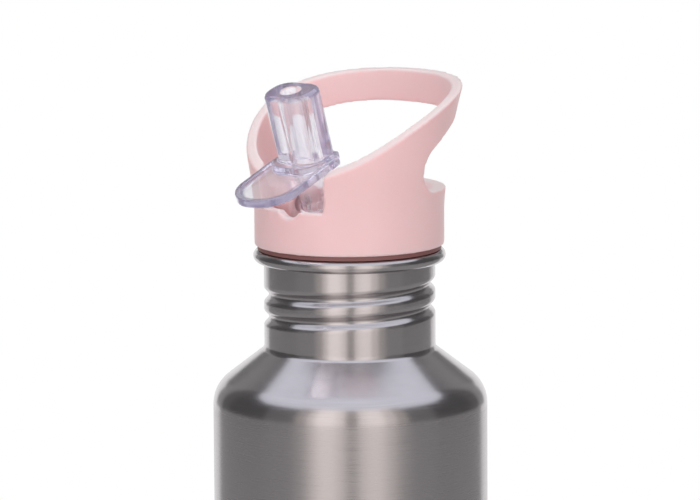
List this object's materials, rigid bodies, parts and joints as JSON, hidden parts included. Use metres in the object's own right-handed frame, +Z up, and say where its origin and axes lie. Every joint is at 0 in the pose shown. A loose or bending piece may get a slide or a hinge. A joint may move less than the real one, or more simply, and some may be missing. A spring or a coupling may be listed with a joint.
{
  "type": "drinking bottle",
  "caption": "Single-wall steel drinking bottle with a rolled screw neck, a moulded screw cap with a carrying loop, and a clear flip-up mouthpiece.",
  "frame": {"origin": "centre of the foot ring on the resting plane, on the bottle's axis", "axes": "+Z up along the bottle's axis, the mouthpiece and its tab face -Y, X is left to right and the plane X = 0 is the mirror plane of the cap"},
  "size_m": [0.071, 0.0749, 0.1988],
  "materials": {
    "steel": "fine circumferential brushing, satin",
    "steel_base": "pressed, satin",
    "pink_cap": "satin moulded polypropylene",
    "pink_plug": "satin moulded polypropylene",
    "rose_seal": "smooth silicone",
    "clear_silicone": "smooth silicone",
    "clear_plastic": "polished clear copolyester with a faint lavender tint",
    "straw_plastic": "translucent, smooth"
  },
  "bodies": {
    "bottle": {"bottle_body": "steel", "bottle_base": "steel_base"},
    "seal": {"seal_ring": "rose_seal"},
    "lid": {"cap_shell": "pink_cap", "thread_plug": "pink_plug", "valve_seat": "clear_silicone", "air_valve": "clear_silicone", "straw": "straw_plastic"},
    "spout": {"mouthpiece": "clear_plastic"}
  },
  "joints": [
    {"name": "lid_lift", "type": "slide", "parent": "bottle", "child": "seal", "axis": [0, 0, 1], "range_m": [0, 0.0116]},
    {"name": "lid_turn", "type": "hinge", "parent": "seal", "child": "lid", "pos_m": [0, 0, 0.15], "axis": [0, 0, 1], "range_deg": [0, 720.1]},
    {"name": "spout_flip", "type": "hinge", "parent": "lid", "child": "spout", "pos_m": [0, -0.013, 0.16655], "axis": [-1, 0, 0], "range_deg": [0, 90]}
  ],
  "couplings": [
    {"joint": "lid_turn", "follows": "lid_lift", "rad_per_m": 1083.3}
  ]
}
